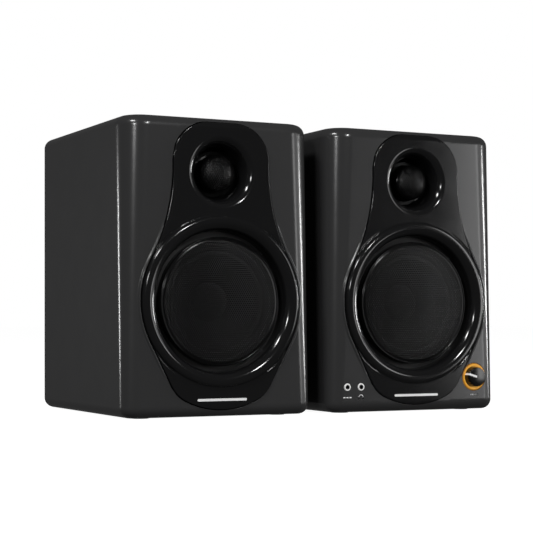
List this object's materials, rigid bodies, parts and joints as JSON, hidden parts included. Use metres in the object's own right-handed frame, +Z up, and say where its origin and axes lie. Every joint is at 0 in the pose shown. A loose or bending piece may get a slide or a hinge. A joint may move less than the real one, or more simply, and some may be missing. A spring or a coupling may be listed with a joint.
{
  "type": "desktop speakers",
  "caption": "Pair of boxy powered desktop speakers with bottle-shaped gloss fascias, round perforated grilles, a lit volume knob and front sockets.",
  "frame": {"origin": "middle of the pair on the desk, at the centre of the bounding box", "axes": "+X across the pair from the left speaker to the right, fronts face -Y, +Z up"},
  "size_m": [0.3452, 0.2264, 0.238],
  "materials": {
    "cabinet_paint": "satin charcoal paint on fibreboard",
    "fascia_gloss": "gloss black moulding",
    "rubber_pad": "matt",
    "screw_black": "blacked steel",
    "port_plastic": "fine moulded texture",
    "terminal_plastic": "fine moulded texture",
    "lever_red": "semi-gloss moulding",
    "lever_black": "semi-gloss moulding",
    "grille_steel": "perforated sheet, satin black",
    "basket_steel": "black paint on pressed steel",
    "surround_rubber": "matt",
    "cone_paper": "pressed pulp",
    "spider_cloth": "resin-dipped cotton",
    "coil_copper": "enamelled wire",
    "motor_steel": "plated",
    "magnet_ferrite": "sintered",
    "dome_silk": "doped silk",
    "knob_black": "satin moulding",
    "light_amber": "translucent, lit from behind",
    "socket_white": "satin moulding",
    "circuit_board": "solder resist",
    "transformer_steel": "varnished laminations",
    "panel_plastic": "fine moulded texture",
    "panel_metal": "black powder coat on aluminium",
    "phono_nickel": "nickel plate"
  },
  "bodies": {
    "root": {"right_amplifier_board": "circuit_board", "right_cabinet": "cabinet_paint", "right_fascia": "fascia_gloss", "right_foot_pads": "rubber_pad", "right_front_sockets": "socket_white", "right_knob_light_ring": "light_amber", "right_mains_inlet": "terminal_plastic", "right_panel_screws": "screw_black", "right_phono_inputs": "phono_nickel", "right_port_tube": "port_plastic", "right_rear_panel": "panel_metal", "right_terminal_block": "terminal_plastic", "right_transformer": "transformer_steel", "right_tweeter_frame": "terminal_plastic", "right_tweeter_grille": "grille_steel", "right_tweeter_magnet": "motor_steel", "right_volume_pot": "motor_steel", "right_woofer_back_plate": "motor_steel", "right_woofer_basket": "basket_steel", "right_woofer_grille": "grille_steel", "right_woofer_magnet": "magnet_ferrite", "right_woofer_screws": "screw_black", "right_woofer_spider": "spider_cloth", "right_woofer_surround": "surround_rubber", "right_woofer_top_plate": "motor_steel"},
    "left_speaker": {"left_cabinet": "cabinet_paint", "left_crossover_board": "circuit_board", "left_fascia": "fascia_gloss", "left_foot_pads": "rubber_pad", "left_panel_screws": "screw_black", "left_port_tube": "port_plastic", "left_rear_panel": "panel_plastic", "left_terminal_block": "terminal_plastic", "left_tweeter_frame": "terminal_plastic", "left_tweeter_grille": "grille_steel", "left_tweeter_magnet": "motor_steel", "left_woofer_back_plate": "motor_steel", "left_woofer_basket": "basket_steel", "left_woofer_grille": "grille_steel", "left_woofer_magnet": "magnet_ferrite", "left_woofer_screws": "screw_black", "left_woofer_spider": "spider_cloth", "left_woofer_surround": "surround_rubber", "left_woofer_top_plate": "motor_steel"},
    "left_woofer_cone_set": {"left_woofer_cone": "cone_paper", "left_woofer_dust_cap": "cone_paper", "left_voice_coil": "coil_copper"},
    "left_tweeter_dome_set": {"left_tweeter_dome": "dome_silk"},
    "left_red_clip": {"left_red_lever": "lever_red"},
    "left_black_clip": {"left_black_lever": "lever_black"},
    "right_woofer_cone_set": {"right_woofer_cone": "cone_paper", "right_woofer_dust_cap": "cone_paper", "right_voice_coil": "coil_copper"},
    "right_tweeter_dome_set": {"right_tweeter_dome": "dome_silk"},
    "right_red_clip": {"right_red_lever": "lever_red"},
    "right_black_clip": {"right_black_lever": "lever_black"},
    "volume_control": {"right_volume_knob": "knob_black", "right_volume_shaft": "motor_steel"},
    "power_switch": {"right_power_rocker": "lever_black"}
  },
  "joints": [
    {"name": "speaker_spacing", "type": "slide", "parent": "root", "child": "left_speaker", "axis": [-1, 0, 0], "range_m": [0, 0.3]},
    {"name": "right_woofer_excursion", "type": "slide", "parent": "root", "child": "right_woofer_cone_set", "axis": [0, -1, 0], "range_m": [-0.0025, 0.0025], "stiffness_N_per_m": 800, "deforming": ["right_woofer_surround", "right_woofer_spider"]},
    {"name": "right_tweeter_excursion", "type": "slide", "parent": "root", "child": "right_tweeter_dome_set", "axis": [0, -1, 0], "range_m": [-0.0003, 0.0003], "stiffness_N_per_m": 300},
    {"name": "right_red_clip_press", "type": "hinge", "parent": "root", "child": "right_red_clip", "pos_m": [0.1014, 0.10155, 0.105], "axis": [-1, 0, 0], "range_deg": [0, 22], "stiffness_Nm_per_rad": 0.05},
    {"name": "right_black_clip_press", "type": "hinge", "parent": "root", "child": "right_black_clip", "pos_m": [0.0794, 0.10155, 0.105], "axis": [-1, 0, 0], "range_deg": [0, 22], "stiffness_Nm_per_rad": 0.05},
    {"name": "left_woofer_excursion", "type": "slide", "parent": "left_speaker", "child": "left_woofer_cone_set", "axis": [0, -1, 0], "range_m": [-0.0025, 0.0025], "stiffness_N_per_m": 800, "deforming": ["left_woofer_surround", "left_woofer_spider"]},
    {"name": "left_tweeter_excursion", "type": "slide", "parent": "left_speaker", "child": "left_tweeter_dome_set", "axis": [0, -1, 0], "range_m": [-0.0003, 0.0003], "stiffness_N_per_m": 300},
    {"name": "left_red_clip_press", "type": "hinge", "parent": "left_speaker", "child": "left_red_clip", "pos_m": [-0.0794, 0.10155, 0.105], "axis": [-1, 0, 0], "range_deg": [0, 22], "stiffness_Nm_per_rad": 0.05},
    {"name": "left_black_clip_press", "type": "hinge", "parent": "left_speaker", "child": "left_black_clip", "pos_m": [-0.1014, 0.10155, 0.105], "axis": [-1, 0, 0], "range_deg": [0, 22], "stiffness_Nm_per_rad": 0.05},
    {"name": "volume_turn", "type": "hinge", "parent": "root", "child": "volume_control", "pos_m": [0.1497, -0.10735, 0.0289], "axis": [0, 1, 0], "range_deg": [-80, 220]},
    {"name": "power_switch_rock", "type": "hinge", "parent": "root", "child": "power_switch", "pos_m": [0.0689, 0.10155, 0.043], "axis": [-1, 0, 0], "range_deg": [0, 20]}
  ]
}
